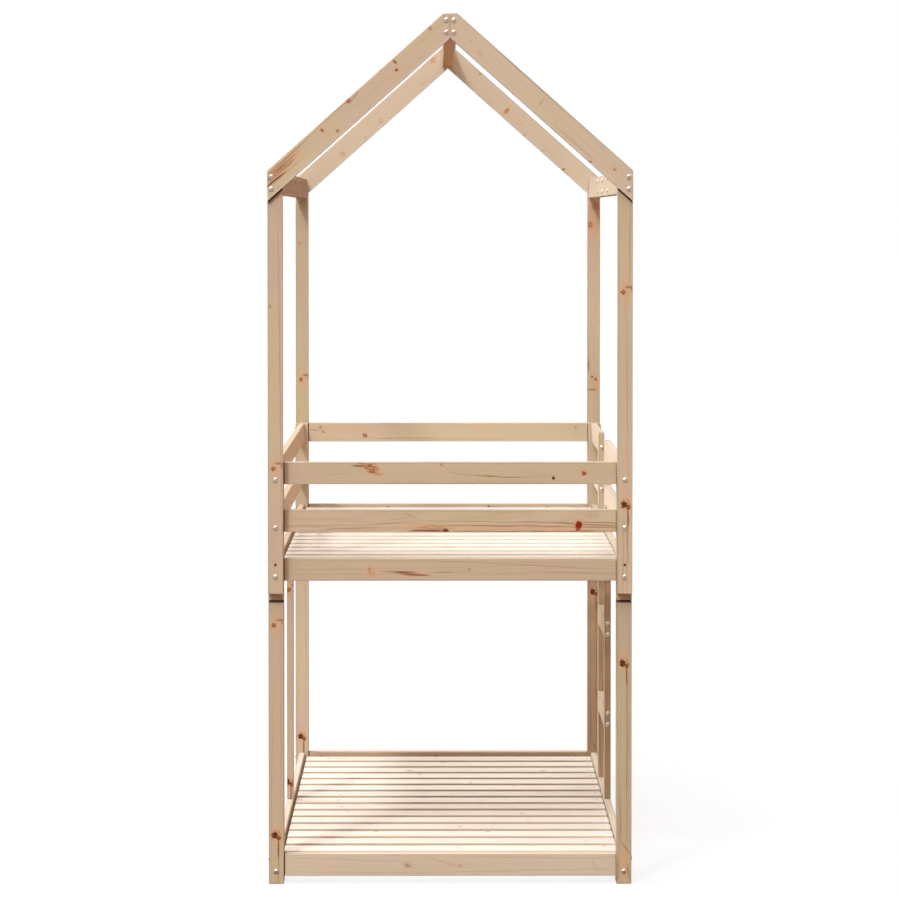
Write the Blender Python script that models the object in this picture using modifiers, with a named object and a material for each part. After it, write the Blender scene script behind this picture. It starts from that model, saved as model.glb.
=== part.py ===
"""A wooden bunk bed with a house-shaped roof frame, in metres, +Z up.

The origin is at the bottom centre. Left is -X, right is +X, front is -Y and back is +Y. The ladder
is on the right side. Every piece is a board of its own, and touching pieces keep a seat gap. The
heads of the bolts are joined to the boards on which they stand.
"""

import math

import bmesh
import bpy
from mathutils import Matrix, Vector

COLLECTION_NAME = "bunk_bed"
CUTTER_COLLECTION_NAME = "bunk_bed_cutters"
SIDES = (("left", -1), ("right", 1))
ENDS = (("front", -1), ("back", 1))

# Fits and finish
SEAT_GAP = 0.0003
EDGE_ROUNDING = 0.0025
EDGE_SEGMENTS = 2
SHARP_ANGLE = math.radians(30)
WELD_DISTANCE = 0.00005
CUT_OVERRUN = 0.002
ROUND_SIDES = 12

# Sleeping space between the side boards and between the end rails
MATTRESS_WIDTH = 0.900
MATTRESS_LENGTH = 2.000
MATTRESS_END_CLEARANCE = 0.005

# Side boards, which guards, ladder uprights and rungs share
BOARD_THICKNESS = 0.018
BOARD_HEIGHT = 0.058

# Heights of the rails' lower edges and the gaps between the guards
LOWER_RAIL_BOTTOM = 0.020
UPPER_RAIL_BOTTOM = 0.802
LOWER_GUARD_GAP = 0.071
UPPER_GUARD_GAP = 0.068

# The long side rails are made of two lengths, butted this far in front of the middle
RAIL_JOINT_SETBACK = 0.431

# End rails
END_RAIL_THICKNESS = 0.040

# Posts, stacked on a pin at the joint, which lies this far under the upper rails
POST_WIDTH = 0.040
POST_DEPTH = 0.058
POST_JOINT_DROP = 0.052
PIN_RADIUS = 0.005
PIN_LENGTH = 0.060

# House legs, fixed to the outer faces of the posts, from this far under the upper rails
LEG_DEPTH = 0.028
LEG_BOTTOM_DROP = 0.032
PILOT_HOLE_RADIUS = 0.0030
PILOT_HOLE_RISE = 0.016

# Roof
RAFTER_THICKNESS = 0.040
RAFTER_HEIGHT = 0.060
RAFTER_FOOT_HEIGHT = 1.802
ROOF_ANGLE = math.radians(41.7)
BEAM_THICKNESS = 0.036
BEAM_HEIGHT = 0.058
EAVES_BEAM_RISE = 0.020
EAVES_LAP_LENGTH = 0.775

# Ladder
LADDER_CLEAR_WIDTH = 0.400
RUNG_COUNT = 2

# Slats on their ledgers
SLAT_COUNT = 15
SLAT_WIDTH = 0.090
SLAT_THICKNESS = 0.018
SLAT_DROP = 0.006
SLAT_SIDE_CLEARANCE = 0.003
SLAT_END_MARGIN = 0.0585
LEDGER_WIDTH = 0.024
LEDGER_HEIGHT = 0.030
LEDGER_END_CLEARANCE = 0.006

# Furniture bolts, in pairs about the middle of a beam or rung, or one off the middle of a rail
BOLT_HEAD_RADIUS = 0.0066
BOLT_HEAD_TOP_RADIUS = 0.0050
BOLT_HEAD_HEIGHT = 0.0026
BOLT_HEAD_SEAT_DEPTH = 0.0010
BOLT_HEAD_SIDES = 10
BOLT_OFFSET = 0.016
RIDGE_BOLT_SPREAD = 0.010
RIDGE_BOLT_DROP = 0.0056
EAVES_BOLT_SHIFT = 0.007
EAVES_BOLT_DROP = 0.0016
LAP_BOLT_MARGIN = 0.0395

# Colours are linear, and wood is planed and bare
POST_COLOUR = (0.62, 0.44, 0.27)
RAIL_COLOUR = (0.66, 0.48, 0.30)
ROOF_COLOUR = (0.64, 0.45, 0.27)
SLAT_COLOUR = (0.80, 0.64, 0.45)
PIN_COLOUR = (0.60, 0.45, 0.28)
WOOD_ROUGHNESS = 0.62
STEEL_COLOUR = (0.75, 0.75, 0.76)
STEEL_ROUGHNESS = 0.35

# Places that follow from the sizes above
half_mattress = MATTRESS_WIDTH / 2
post_x = half_mattress + BOARD_THICKNESS / 2
half_width = post_x + POST_WIDTH / 2
post_inner_x = post_x - POST_WIDTH / 2
end_rail_inner_y = MATTRESS_LENGTH / 2 + MATTRESS_END_CLEARANCE
post_y = end_rail_inner_y + END_RAIL_THICKNESS / 2
post_inner_y = post_y - POST_DEPTH / 2
post_outer_y = post_y + POST_DEPTH / 2
leg_inner_y = post_outer_y + SEAT_GAP
upper_rail_top = UPPER_RAIL_BOTTOM + BOARD_HEIGHT
lower_rail_top = LOWER_RAIL_BOTTOM + BOARD_HEIGHT
post_joint_height = UPPER_RAIL_BOTTOM - POST_JOINT_DROP
leg_bottom = UPPER_RAIL_BOTTOM - LEG_BOTTOM_DROP
lower_guard_bottom = upper_rail_top + LOWER_GUARD_GAP
upper_guard_bottom = lower_guard_bottom + BOARD_HEIGHT + UPPER_GUARD_GAP
post_top = upper_guard_bottom + BOARD_HEIGHT
guard_bottoms = (("lower", lower_guard_bottom), ("upper", upper_guard_bottom))
ladder_near_y = BOARD_HEIGHT / 2
ladder_far_y = ladder_near_y + LADDER_CLEAR_WIDTH
rafter_rise = RAFTER_HEIGHT / math.cos(ROOF_ANGLE)
eaves_beam_x = half_width - BEAM_THICKNESS / 2
eaves_beam_z = RAFTER_FOOT_HEIGHT + EAVES_BEAM_RISE + BEAM_HEIGHT / 2
upper_rail_bottoms = (UPPER_RAIL_BOTTOM, lower_guard_bottom, upper_guard_bottom)
bolt_rows = (-BOLT_OFFSET, BOLT_OFFSET)
lap_bolt_pitch = EAVES_LAP_LENGTH / 2 - LAP_BOLT_MARGIN


def roof_under(x):
    """Height of the rafters' lower edge at a distance from the middle"""
    return RAFTER_FOOT_HEIGHT + (half_width - x) * math.tan(ROOF_ANGLE)


ridge_top = roof_under(BEAM_THICKNESS / 2) + rafter_rise


def clear_scene():
    for old in list(bpy.data.objects):
        bpy.data.objects.remove(old, do_unlink=True)


def new_collection(name):
    collection = bpy.data.collections.new(name)
    bpy.context.scene.collection.children.link(collection)
    return collection


def plain_material(name, colour, roughness=WOOD_ROUGHNESS, metallic=0.0):
    """Bare planed pine of one tone, or a metal"""
    material = bpy.data.materials.new(name)
    material.use_nodes = True
    shader = material.node_tree.nodes["Principled BSDF"]
    shader.inputs["Base Color"].default_value = (*colour, 1.0)
    shader.inputs["Roughness"].default_value = roughness
    shader.inputs["Metallic"].default_value = metallic
    material.diffuse_color = (*colour, 1.0)
    return material


def between(low, high):
    """The span of a piece that seats against something at both ends"""
    return (low + SEAT_GAP, high - SEAT_GAP)


def outward(side, inner, outer):
    """A span measured out from the middle, on the side given by its sign"""
    return tuple(sorted((side * inner, side * outer)))


def boxes_mesh(name, boxes):
    """A mesh of boxes, each given by its spans along X, Y and Z"""
    shape = bmesh.new()
    for spans in boxes:
        size = [high - low for low, high in spans]
        centre = [(low + high) / 2 for low, high in spans]
        place = Matrix.Translation(centre) @ Matrix.Diagonal((*size, 1.0))
        bmesh.ops.create_cube(shape, size=1.0, matrix=place)
    mesh = bpy.data.meshes.new(name)
    shape.to_mesh(mesh)
    shape.free()
    return mesh


def round_edges(piece):
    bevel = piece.modifiers.new("rounded_edges", "BEVEL")
    bevel.width = EDGE_ROUNDING
    bevel.segments = EDGE_SEGMENTS
    bevel.limit_method = "ANGLE"
    bevel.angle_limit = SHARP_ANGLE


def add_piece(name, data, collection, material, location=(0, 0, 0)):
    piece = bpy.data.objects.new(name, data)
    piece.location = location
    piece.data.materials.append(material)
    collection.objects.link(piece)
    return piece


def add_board(name, x_span, y_span, z_span, collection, material):
    """A board with rounded edges, placed by the middle of its spans"""
    spans = (x_span, y_span, z_span)
    centre = [(low + high) / 2 for low, high in spans]
    local_spans = [(low - middle, high - middle) for (low, high), middle in zip(spans, centre)]
    board = add_piece(name, boxes_mesh(name, [local_spans]), collection, material, centre)
    round_edges(board)
    return board


def add_outline(name, points, thickness, collection, material):
    """A flat outline given a thickness, with rounded edges"""
    curve = bpy.data.curves.new(name, "CURVE")
    curve.dimensions = "2D"
    curve.fill_mode = "BOTH"
    curve.extrude = thickness / 2
    spline = curve.splines.new("POLY")
    spline.points.add(len(points) - 1)
    for point, (x, y) in zip(spline.points, points):
        point.co = (x, y, 0, 1)
    spline.use_cyclic_u = True
    outline = bpy.data.objects.new(f"{name}_outline", curve)
    mesh = bpy.data.meshes.new_from_object(outline)
    mesh.name = name
    mesh.materials.clear()
    bpy.data.objects.remove(outline)
    piece = add_piece(name, mesh, collection, material)
    weld = piece.modifiers.new("closed_caps", "WELD")
    weld.merge_threshold = WELD_DISTANCE
    round_edges(piece)
    return piece


def add_cylinder(name, radius, length, location, rotation, collection):
    shape = bmesh.new()
    bmesh.ops.create_cone(
        shape, cap_ends=True, segments=ROUND_SIDES, radius1=radius, radius2=radius, depth=length
    )
    mesh = bpy.data.meshes.new(name)
    shape.to_mesh(mesh)
    shape.free()
    mesh.shade_smooth()
    mesh.set_sharp_from_angle(angle=SHARP_ANGLE)
    piece = bpy.data.objects.new(name, mesh)
    piece.location = location
    piece.rotation_euler = rotation
    collection.objects.link(piece)
    return piece


def as_cutter(piece):
    piece.hide_render = True
    piece.display_type = "WIRE"
    return piece


def apply_boolean(piece, other, operation):
    boolean = piece.modifiers.new(operation.lower(), "BOOLEAN")
    boolean.operation = operation
    boolean.solver = "EXACT"
    boolean.material_mode = "TRANSFER"
    boolean.object = other


def add_bolt_heads(piece, heads, cutters, steel):
    """Chamfered heads, each given by its place on the board's face and its way out of it"""
    shape = bmesh.new()
    depth = BOLT_HEAD_HEIGHT + BOLT_HEAD_SEAT_DEPTH
    for place, outward_way in heads:
        way = Vector(outward_way)
        middle = Vector(place) + way * (depth / 2 - BOLT_HEAD_SEAT_DEPTH)
        turn = Vector((0, 0, 1)).rotation_difference(way).to_matrix().to_4x4()
        bmesh.ops.create_cone(
            shape,
            cap_ends=True,
            segments=BOLT_HEAD_SIDES,
            radius1=BOLT_HEAD_RADIUS,
            radius2=BOLT_HEAD_TOP_RADIUS,
            depth=depth,
            matrix=Matrix.Translation(middle) @ turn,
        )
    name = f"{piece.name}_bolt_heads"
    mesh = bpy.data.meshes.new(name)
    shape.to_mesh(mesh)
    shape.free()
    head_set = add_piece(name, mesh, cutters, steel)
    apply_boolean(piece, as_cutter(head_set), "UNION")


def add_post_stack(end_name, end, side_name, side, collection, cutters, materials):
    """A lower and an upper post, end to end on a pin"""
    corner = f"{end_name}_{side_name}"
    x_span = outward(side, post_inner_x, half_width)
    y_span = outward(end, post_inner_y, post_outer_y)
    heights = (("lower", 0, post_joint_height), ("upper", post_joint_height + SEAT_GAP, post_top))
    joint = (side * post_x, end * post_y, post_joint_height + SEAT_GAP / 2)
    bore_length = PIN_LENGTH + 2 * SEAT_GAP
    upright = (0, 0, 0)
    bore_name = f"{corner}_pin_bore"
    bore = as_cutter(
        add_cylinder(bore_name, PIN_RADIUS + SEAT_GAP, bore_length, joint, upright, cutters)
    )
    side_face = side * half_width
    end_face = end * post_outer_y
    low_middle = LOWER_RAIL_BOTTOM + BOARD_HEIGHT / 2
    heads = {
        "lower": [
            ((side_face, end * post_y, low_middle + BOLT_OFFSET), (side, 0, 0)),
            ((side * post_x, end_face, low_middle - BOLT_OFFSET), (0, end, 0)),
        ],
        "upper": [
            ((side_face, end * post_y, rail_bottom + BOARD_HEIGHT / 2 + BOLT_OFFSET), (side, 0, 0))
            for rail_bottom in upper_rail_bottoms
        ],
    }
    for level, bottom, top in heights:
        post = add_board(
            f"{corner}_{level}_post", x_span, y_span, (bottom, top), collection, materials["post"]
        )
        apply_boolean(post, bore, "DIFFERENCE")
        add_bolt_heads(post, heads[level], cutters, materials["steel"])
    pin = add_cylinder(f"{corner}_post_pin", PIN_RADIUS, PIN_LENGTH, joint, upright, collection)
    pin.data.materials.append(materials["pin"])


def add_house_leg(end_name, end, side_name, side, collection, cutters, materials):
    """A leg on the posts' outer face, cut along the roof slope, with its spare pilot hole"""
    name = f"{end_name}_{side_name}_house_leg"
    x_span = outward(side, post_inner_x, half_width)
    y_span = outward(end, leg_inner_y, leg_inner_y + LEG_DEPTH)
    low_top = roof_under(half_width) - SEAT_GAP / math.cos(ROOF_ANGLE)
    leg = add_board(name, x_span, y_span, (leg_bottom, low_top), collection, materials["post"])
    slope_rise = POST_WIDTH * math.tan(ROOF_ANGLE)
    for vertex in leg.data.vertices:
        if vertex.co.z > 0 and vertex.co.x * side < 0:
            vertex.co.z += slope_rise
    hole_height = UPPER_RAIL_BOTTOM + BOARD_HEIGHT / 2 + PILOT_HOLE_RISE
    hole = as_cutter(
        add_cylinder(
            f"{name}_pilot_hole",
            PILOT_HOLE_RADIUS,
            LEG_DEPTH + 2 * CUT_OVERRUN,
            (side * post_x, end * (leg_inner_y + LEG_DEPTH / 2), hole_height),
            (math.pi / 2, 0, 0),
            cutters,
        )
    )
    apply_boolean(leg, hole, "DIFFERENCE")
    outer_face = end * (leg_inner_y + LEG_DEPTH)
    heads = [
        ((side * post_x, outer_face, rail_bottom + BOARD_HEIGHT / 2 - BOLT_OFFSET), (0, end, 0))
        for rail_bottom in upper_rail_bottoms
    ]
    add_bolt_heads(leg, heads, cutters, materials["steel"])


def add_end_rails(end_name, end, collection, material):
    """The two bed rails and two guards across an end"""
    x_span = between(-post_inner_x, post_inner_x)
    y_span = outward(end, end_rail_inner_y, end_rail_inner_y + END_RAIL_THICKNESS)
    bottoms = [("lower_bed_end_rail", LOWER_RAIL_BOTTOM), ("upper_bed_end_rail", UPPER_RAIL_BOTTOM)]
    bottoms += [(f"{level}_end_guard", bottom) for level, bottom in guard_bottoms]
    for part_name, bottom in bottoms:
        z_span = (bottom, bottom + BOARD_HEIGHT)
        add_board(f"{end_name}_{part_name}", x_span, y_span, z_span, collection, material)


def side_board_span(side):
    return outward(side, half_mattress, half_mattress + BOARD_THICKNESS)


def add_side_rails(side_name, side, collection, material):
    """The long rails of both beds, each in two lengths"""
    x_span = side_board_span(side)
    front_length = between(-post_inner_y, -RAIL_JOINT_SETBACK)
    back_length = (-RAIL_JOINT_SETBACK, post_inner_y - SEAT_GAP)
    for level, bottom in (("lower", LOWER_RAIL_BOTTOM), ("upper", UPPER_RAIL_BOTTOM)):
        z_span = (bottom, bottom + BOARD_HEIGHT)
        for part_name, y_span in (("front", front_length), ("back", back_length)):
            name = f"{side_name}_{level}_side_rail_{part_name}"
            add_board(name, x_span, y_span, z_span, collection, material)


def add_left_side(collection, material):
    """Full-length guards, and a middle post between the two beds"""
    x_span = side_board_span(-1)
    y_span = between(-post_inner_y, post_inner_y)
    for level, bottom in guard_bottoms:
        z_span = (bottom, bottom + BOARD_HEIGHT)
        add_board(f"left_{level}_guard", x_span, y_span, z_span, collection, material)
    middle = (-BOARD_HEIGHT / 2, BOARD_HEIGHT / 2)
    z_span = between(lower_rail_top, UPPER_RAIL_BOTTOM)
    add_board("left_middle_post", x_span, middle, z_span, collection, material)


def add_ladder_side(collection, cutters, materials):
    """Uprights and rungs between the beds, and guards on both sides of the way in"""
    material = materials["rail"]
    steel = materials["steel"]
    x_span = side_board_span(1)
    upright_spans = (
        ("near", (ladder_near_y - BOARD_HEIGHT, ladder_near_y)),
        ("far", (ladder_far_y, ladder_far_y + BOARD_HEIGHT)),
    )
    z_span = between(lower_rail_top, UPPER_RAIL_BOTTOM)
    guard_z_span = (upper_rail_top + SEAT_GAP, post_top)
    rung_pitch = (UPPER_RAIL_BOTTOM - LOWER_RAIL_BOTTOM) / (RUNG_COUNT + 1)
    rung_bottoms = [LOWER_RAIL_BOTTOM + (index + 1) * rung_pitch for index in range(RUNG_COUNT)]
    bolt_heights = [b + BOARD_HEIGHT / 2 + row for b in rung_bottoms for row in bolt_rows]
    guard_bolt_heights = [bottom + BOARD_HEIGHT / 2 - BOLT_OFFSET for _, bottom in guard_bottoms]
    for (part_name, y_span), way in zip(upright_spans, (-1, 1)):
        upright_name = f"ladder_{part_name}_upright"
        upright = add_board(upright_name, x_span, y_span, z_span, collection, material)
        outer_y, inner_y = y_span if way < 0 else y_span[::-1]
        heads = [((post_x, outer_y, height), (0, way, 0)) for height in bolt_heights]
        add_bolt_heads(upright, heads, cutters, steel)
        post_name = f"{part_name}_guard_post"
        guard_post = add_board(post_name, x_span, y_span, guard_z_span, collection, material)
        heads = [((post_x, inner_y, height), (0, -way, 0)) for height in guard_bolt_heights]
        add_bolt_heads(guard_post, heads, cutters, steel)
    guard_spans = (
        ("near", between(-post_inner_y, ladder_near_y - BOARD_HEIGHT)),
        ("far", between(ladder_far_y + BOARD_HEIGHT, post_inner_y)),
    )
    for part_name, y_span in guard_spans:
        for level, bottom in guard_bottoms:
            z_span = (bottom, bottom + BOARD_HEIGHT)
            add_board(f"right_{part_name}_{level}_guard", x_span, y_span, z_span, collection, material)
    for index, bottom in enumerate(rung_bottoms):
        z_span = (bottom, bottom + BOARD_HEIGHT)
        y_span = between(ladder_near_y, ladder_far_y)
        add_board(f"ladder_rung_{index + 1}", x_span, y_span, z_span, collection, material)


def add_slat_base(level, rail_bottom, collection, cutters, material):
    """Slats and the two ledgers that carry them, as one base"""
    slat_bottom = rail_bottom + BOARD_HEIGHT - SLAT_DROP - SLAT_THICKNESS
    ledger_outer_x = half_mattress - SEAT_GAP
    ledger_end = post_inner_y - LEDGER_END_CLEARANCE
    ledgers = [
        (
            outward(side, ledger_outer_x - LEDGER_WIDTH, ledger_outer_x),
            (-ledger_end, ledger_end),
            (-LEDGER_HEIGHT, 0),
        )
        for _, side in SIDES
    ]
    slat_half_length = half_mattress - SLAT_SIDE_CLEARANCE
    first_slat = SLAT_END_MARGIN + SLAT_WIDTH / 2 - end_rail_inner_y
    pitch = -2 * first_slat / (SLAT_COUNT - 1)
    slats = []
    for index in range(SLAT_COUNT):
        middle = first_slat + index * pitch
        y_span = (middle - SLAT_WIDTH / 2, middle + SLAT_WIDTH / 2)
        slats.append(((-slat_half_length, slat_half_length), y_span, (0, SLAT_THICKNESS)))
    place = (0, 0, slat_bottom)
    base_name = f"{level}_slat_base"
    base = add_piece(base_name, boxes_mesh(base_name, ledgers), collection, material, place)
    round_edges(base)
    slats_name = f"{level}_slats"
    slat_set = add_piece(slats_name, boxes_mesh(slats_name, slats), cutters, material, place)
    round_edges(slat_set)
    apply_boolean(base, as_cutter(slat_set), "UNION")


def add_rafter(end_name, end, side_name, side, collection, cutters, materials):
    """A rafter cut upright at the eaves, mitred at the middle and flattened over the ridge beam"""
    mitre_x = SEAT_GAP / 2
    points = [
        (half_width, roof_under(half_width)),
        (half_width, roof_under(half_width) + rafter_rise),
        (BEAM_THICKNESS / 2, ridge_top),
        (mitre_x, ridge_top),
        (mitre_x, roof_under(mitre_x)),
    ]
    points = [(side * x, z) for x, z in points]
    if side > 0:
        points.reverse()
    name = f"{end_name}_{side_name}_rafter"
    rafter = add_outline(name, points, RAFTER_THICKNESS, collection, materials["roof"])
    rafter.location.y = end * (leg_inner_y + RAFTER_THICKNESS / 2)
    rafter.rotation_euler.x = math.pi / 2
    outer_face = end * (leg_inner_y + RAFTER_THICKNESS)
    columns = (
        (eaves_beam_x + EAVES_BOLT_SHIFT, eaves_beam_z - EAVES_BOLT_DROP),
        (RIDGE_BOLT_SPREAD, ridge_top - BEAM_HEIGHT / 2 - RIDGE_BOLT_DROP),
    )
    heads = [
        ((side * x, outer_face, height + row), (0, end, 0)) for x, height in columns for row in bolt_rows
    ]
    add_bolt_heads(rafter, heads, cutters, materials["steel"])


def add_ridge(collection, material):
    """The ridge beam in two lengths, butted at the middle"""
    x_span = (-BEAM_THICKNESS / 2, BEAM_THICKNESS / 2)
    z_span = (ridge_top - BEAM_HEIGHT, ridge_top)
    for end_name, end in ENDS:
        y_span = outward(end, SEAT_GAP / 2, leg_inner_y - SEAT_GAP)
        add_board(f"ridge_beam_{end_name}", x_span, y_span, z_span, collection, material)


def add_eaves_beam(side_name, side, collection, cutters, materials):
    """A beam in two lengths, each halved in thickness where they lap"""
    half_thickness = BEAM_THICKNESS / 2
    lap = EAVES_LAP_LENGTH / 2
    cheek = SEAT_GAP / 2
    beam_end = leg_inner_y - SEAT_GAP
    for end_name, end in ENDS:
        local_points = [
            (half_thickness, -beam_end),
            (half_thickness, lap - cheek),
            (cheek, lap - cheek),
            (cheek, -lap - cheek),
            (-half_thickness, -lap - cheek),
            (-half_thickness, -beam_end),
        ]
        points = [(side * (eaves_beam_x - end * x), -end * y) for x, y in local_points]
        if side > 0:
            points.reverse()
        name = f"{side_name}_eaves_beam_{end_name}"
        beam = add_outline(name, points, BEAM_HEIGHT, collection, materials["roof"])
        beam.location.z = eaves_beam_z
        way = -end
        face_x = side * (eaves_beam_x + way * half_thickness)
        heads = [
            ((face_x, step * lap_bolt_pitch, eaves_beam_z + row), (side * way, 0, 0))
            for step in (-1, 0, 1)
            for row in bolt_rows
        ]
        add_bolt_heads(beam, heads, cutters, materials["steel"])


def build():
    clear_scene()
    collection = new_collection(COLLECTION_NAME)
    cutters = new_collection(CUTTER_COLLECTION_NAME)
    materials = {
        "post": plain_material("post_pine", POST_COLOUR),
        "rail": plain_material("rail_pine", RAIL_COLOUR),
        "roof": plain_material("roof_pine", ROOF_COLOUR),
        "slat": plain_material("slat_pine", SLAT_COLOUR),
        "pin": plain_material("pin_beech", PIN_COLOUR),
        "steel": plain_material("bolt_steel", STEEL_COLOUR, STEEL_ROUGHNESS, 1.0),
    }
    for end_name, end in ENDS:
        add_end_rails(end_name, end, collection, materials["rail"])
        for side_name, side in SIDES:
            add_post_stack(end_name, end, side_name, side, collection, cutters, materials)
            add_house_leg(end_name, end, side_name, side, collection, cutters, materials)
            add_rafter(end_name, end, side_name, side, collection, cutters, materials)
    for side_name, side in SIDES:
        add_side_rails(side_name, side, collection, materials["rail"])
        add_eaves_beam(side_name, side, collection, cutters, materials)
    add_left_side(collection, materials["rail"])
    add_ladder_side(collection, cutters, materials)
    add_ridge(collection, materials["roof"])
    for level, rail_bottom in (("lower", LOWER_RAIL_BOTTOM), ("upper", UPPER_RAIL_BOTTOM)):
        add_slat_base(level, rail_bottom, collection, cutters, materials["slat"])


build()
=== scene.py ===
"""Looks of a pine bunk bed with a house-shaped roof frame: grain, knots, fittings, light and camera"""

import math
import random

import bmesh
import bpy
from mathutils import Matrix, Vector


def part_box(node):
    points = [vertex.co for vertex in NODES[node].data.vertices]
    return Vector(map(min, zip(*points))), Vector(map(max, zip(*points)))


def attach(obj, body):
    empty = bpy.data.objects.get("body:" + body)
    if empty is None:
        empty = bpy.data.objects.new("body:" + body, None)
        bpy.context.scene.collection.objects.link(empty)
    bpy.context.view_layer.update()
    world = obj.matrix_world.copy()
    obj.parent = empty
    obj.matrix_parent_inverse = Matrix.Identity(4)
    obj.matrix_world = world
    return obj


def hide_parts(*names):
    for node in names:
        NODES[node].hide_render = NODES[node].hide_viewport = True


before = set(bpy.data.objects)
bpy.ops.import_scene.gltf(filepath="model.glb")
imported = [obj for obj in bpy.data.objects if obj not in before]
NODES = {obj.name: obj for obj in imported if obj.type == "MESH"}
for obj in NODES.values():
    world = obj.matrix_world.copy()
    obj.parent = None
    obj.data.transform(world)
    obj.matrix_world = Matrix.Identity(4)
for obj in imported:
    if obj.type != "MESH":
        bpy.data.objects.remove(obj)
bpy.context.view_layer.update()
SIDES = (("left", -1), ("right", 1))
ENDS = (("front", -1), ("back", 1))
MM = 0.001

# Camera
CAMERA_PLACE = (-0.0355, -11.722, 1.757)
CAMERA_PITCH = math.radians(1.997)
CAMERA_YAW = math.radians(0.189)
CAMERA_LENS = 162.36
CAMERA_SENSOR_WIDTH = 36.0
CAMERA_SHIFT_Y = -0.10
CAMERA_REACH = 200.0

# Light. Directions are those in which it travels.
KEY_DIRECTION = (0.385, 1.0, -0.93)
KEY_STRENGTH = 1.35
KEY_ANGLE = math.radians(7)
SOFT_KEY_STRENGTH = 0.75
SOFT_KEY_ANGLE = math.radians(50)
TOP_DIRECTION = (0.05, 0.3, -1.0)
TOP_STRENGTH = 2.2
TOP_ANGLE = math.radians(60)
LEFT_DIRECTION = (1.0, -0.5, -0.5)
LEFT_STRENGTH = 3.2
LEFT_ANGLE = math.radians(50)
WARM_DIRECTION = (-1.0, 0.1, 0.1)
WARM_STRENGTH = 1.75
WARM_ANGLE = math.radians(60)
WARM_COLOUR = (1.0, 0.45, 0.25)
AMBIENT_COLOUR = (1.0, 0.70, 0.52, 1)
AMBIENT_STRENGTH = 0.14
UNDER_BED_PLACE = (0.08, 0.60, 0.77)
UNDER_BED_DIRECTION = (0.0, 0.25, -1.0)
UNDER_BED_SIZE = (0.6, 0.7)
UNDER_BED_POWER = 2.0
UNDER_BED_COLOUR = (0.90, 1.0, 1.0)
SHINE_FROM_BACK_FLOOR = (0.30, 0.21, 0.16, 1)
SHINE_FROM_FRONT_FLOOR = (0.58, 0.50, 0.43, 1)
FLOOR_BOUNCE_COLOUR = (0.26, 0.17, 0.12, 1)
FLOOR_SEEN_COLOUR = (0.80, 0.80, 0.80, 1)
FLOOR_SHADOW_SHARE = 0.15
FRONT_FLOOR_EDGE_Y = -1.3
FLOOR_SIZE = 400.0
FLOOR_DROP = 0.3 * MM

# Brightness of the backdrop in reflections, as a ramp towards the right and one towards the back
REFLECTED_TO_RIGHT = (0.1, 0.7, 1.0, 0.35)
REFLECTED_TO_BACK = (-0.7, 0.1, 0.55, 1.0)

# Roof slope, as the rafters' ends give it, and the size of a rafter
ROOF_ANGLE = math.radians(41.7)
RAFTER_HEIGHT = 60 * MM
RAFTER_DEPTH = 40 * MM

# How far down the slope from a rafter's middle its marks are measured
RAFTER_MARKS_DROP = 6.5 * MM


class Graph:
    """Short calls for building a node tree"""

    def __init__(self, tree):
        self.tree = tree

    def add(self, kind, *values, **settings):
        node = self.tree.nodes.new("ShaderNode" + kind)
        for name, value in settings.items():
            setattr(node, name, value)
        for socket, value in zip(node.inputs, values):
            self.feed(value, socket)
        return node

    def feed(self, value, socket):
        if value is None:
            return
        if isinstance(value, bpy.types.NodeSocket):
            self.tree.links.new(value, socket)
        else:
            socket.default_value = value

    def math(self, operation, *values, clamp=False):
        return self.add("Math", *values, operation=operation, use_clamp=clamp).outputs[0]

    def times(self, first, second):
        return self.math("MULTIPLY", first, second)

    def plus(self, first, second):
        return self.math("ADD", first, second)

    def minus(self, first, second):
        return self.math("SUBTRACT", first, second)

    def vector(self, operation, *values):
        node = self.add("VectorMath", *values, operation=operation)
        scalar = operation in ("LENGTH", "DOT_PRODUCT")
        return node.outputs["Value" if scalar else "Vector"]

    def split(self, value):
        return self.add("SeparateXYZ", value).outputs

    def join(self, x, y, z):
        return self.add("CombineXYZ", x, y, z).outputs[0]

    def ramp(self, value, low, high, to_low=0.0, to_high=1.0):
        node = self.add("MapRange", value, low, high, to_low, to_high)
        node.interpolation_type = "SMOOTHSTEP"
        return node.outputs[0]

    def noise(self, place, scale, detail=2.0, roughness=0.5):
        return self.add("TexNoise", place, None, scale, detail, roughness).outputs["Fac"]

    def grain_noise(self, place, scales, detail=2.0):
        """Noise drawn out along the grain, with a scale along it and one across it"""
        along, across = scales
        return self.noise(self.vector("MULTIPLY", place, (along, across, across)), 1.0, detail)

    def group(self, tree, *values):
        return self.add("Group", *values, node_tree=tree).outputs

    def mix(self, share, first, second, blend="MIX"):
        node = self.add("Mix", data_type="RGBA", blend_type=blend)
        self.feed(share, node.inputs["Factor"])
        self.feed(first, node.inputs[6])
        self.feed(second, node.inputs[7])
        return node.outputs[2]


# Sockets of the groups below that hold a vector. Color holds a colour, and all others hold a float.
VECTORS = ("Point", "Middle", "Weights", "Across", "Half Size", "Pith", "Tilt", "Normal")


def new_group(name, inputs, outputs):
    """An empty node group with sockets of the labels given"""
    tree = bpy.data.node_groups.new(name, "ShaderNodeTree")
    for way, labels in (("INPUT", inputs), ("OUTPUT", outputs)):
        for label in labels:
            kind = "Color" if label == "Color" else "Vector" if label in VECTORS else "Float"
            tree.interface.new_socket(label, in_out=way, socket_type="NodeSocket" + kind)
    entry = tree.nodes.new("NodeGroupInput").outputs
    exit_ = tree.nodes.new("NodeGroupOutput").inputs
    return tree, Graph(tree), entry, exit_


# Knots: the noise that makes their outline wobble, with its gain and base, how far the bend of the
# grain round a knot reaches, in knot radii, and how strong it is
KNOT_WOBBLE_SCALE = 230.0
KNOT_WOBBLE = (1.9, 0.05)
BEND_REACH = 2.1
BEND_SHARE = 1.9

# How fast a knot grows thinner behind the front face
KNOT_TAPER = 0.25

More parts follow.
